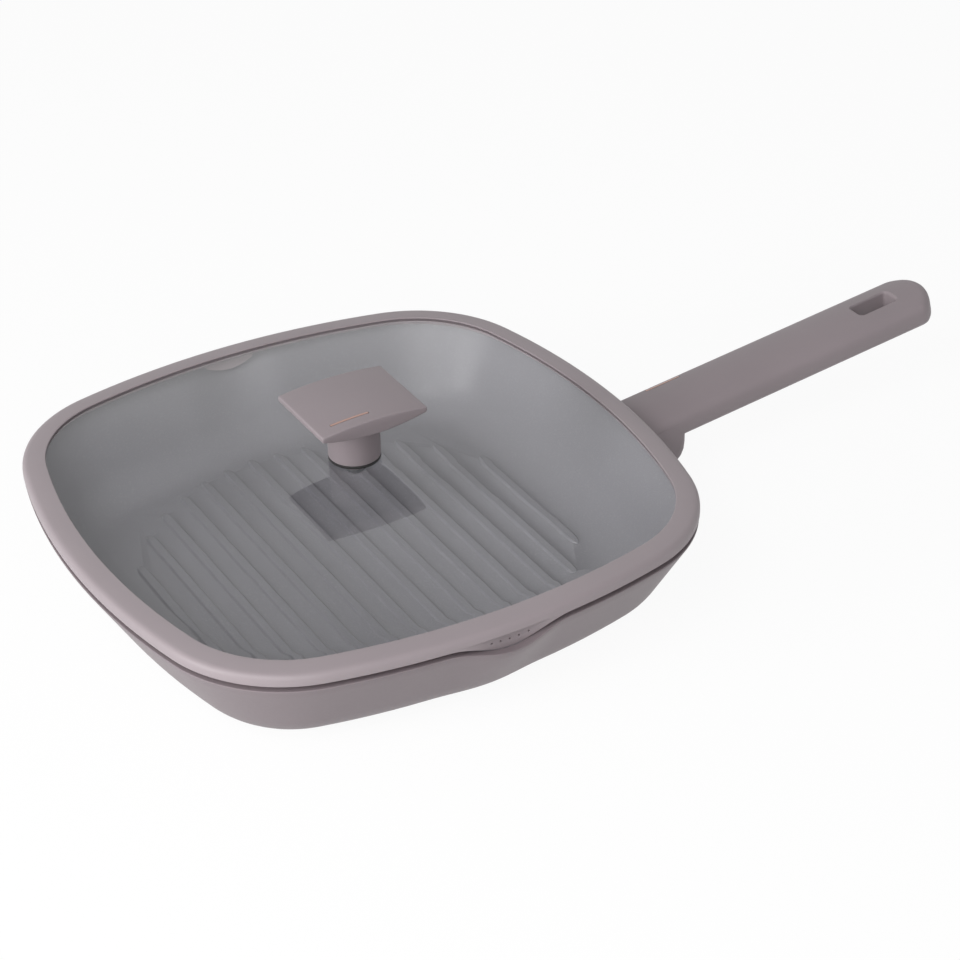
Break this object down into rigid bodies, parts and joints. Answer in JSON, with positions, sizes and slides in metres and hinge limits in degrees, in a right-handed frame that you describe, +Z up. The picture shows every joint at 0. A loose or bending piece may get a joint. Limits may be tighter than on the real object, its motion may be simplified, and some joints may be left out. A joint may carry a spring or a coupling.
{
  "type": "grill pan",
  "caption": "Square grill pan with a ribbed floor, pour spouts, a long handle with a hanging slot, and a lift-off domed glass lid in a silicone rim with a knob on top.",
  "frame": {"origin": "middle of the underside of the pan's base, on the surface that it stands on", "axes": "+X along the handle, away from the pan; the grill ribs run along Y and the pour spouts face -Y and +Y; +Z up through the knob"},
  "size_m": [0.4776, 0.293, 0.0947],
  "materials": {
    "coated_aluminium": "die-cast, taupe outer coat and grey non-stick coat inside",
    "plate_steel": "stamped and perforated stainless sheet",
    "soft_touch_plastic": "moulded, matt taupe soft-touch paint",
    "silicone": "moulded, satin taupe",
    "tempered_glass": "tempered, clear",
    "rose_metal": "anodised, satin rose",
    "gasket_rubber": "moulded, matt dark",
    "fastener_steel": "stainless",
    "insert_brass": "turned"
  },
  "bodies": {
    "pan": {"pan_body": "coated_aluminium", "induction_plate": "plate_steel", "handle": "soft_touch_plastic", "handle_accent_strip": "rose_metal", "handle_screw": "fastener_steel", "handle_spring_washer": "fastener_steel"},
    "lid": {"lid_glass": "tempered_glass", "lid_silicone_rim": "silicone", "lid_knob": "soft_touch_plastic", "knob_accent_strip": "rose_metal", "knob_upper_gasket": "gasket_rubber", "knob_lower_gasket": "silicone", "knob_washer": "fastener_steel", "knob_screw": "fastener_steel", "knob_threaded_insert": "insert_brass"}
  },
  "joints": [
    {"name": "lid_lift", "type": "slide", "parent": "pan", "child": "lid", "axis": [0, 0, 1], "range_m": [0, 0.15]}
  ]
}
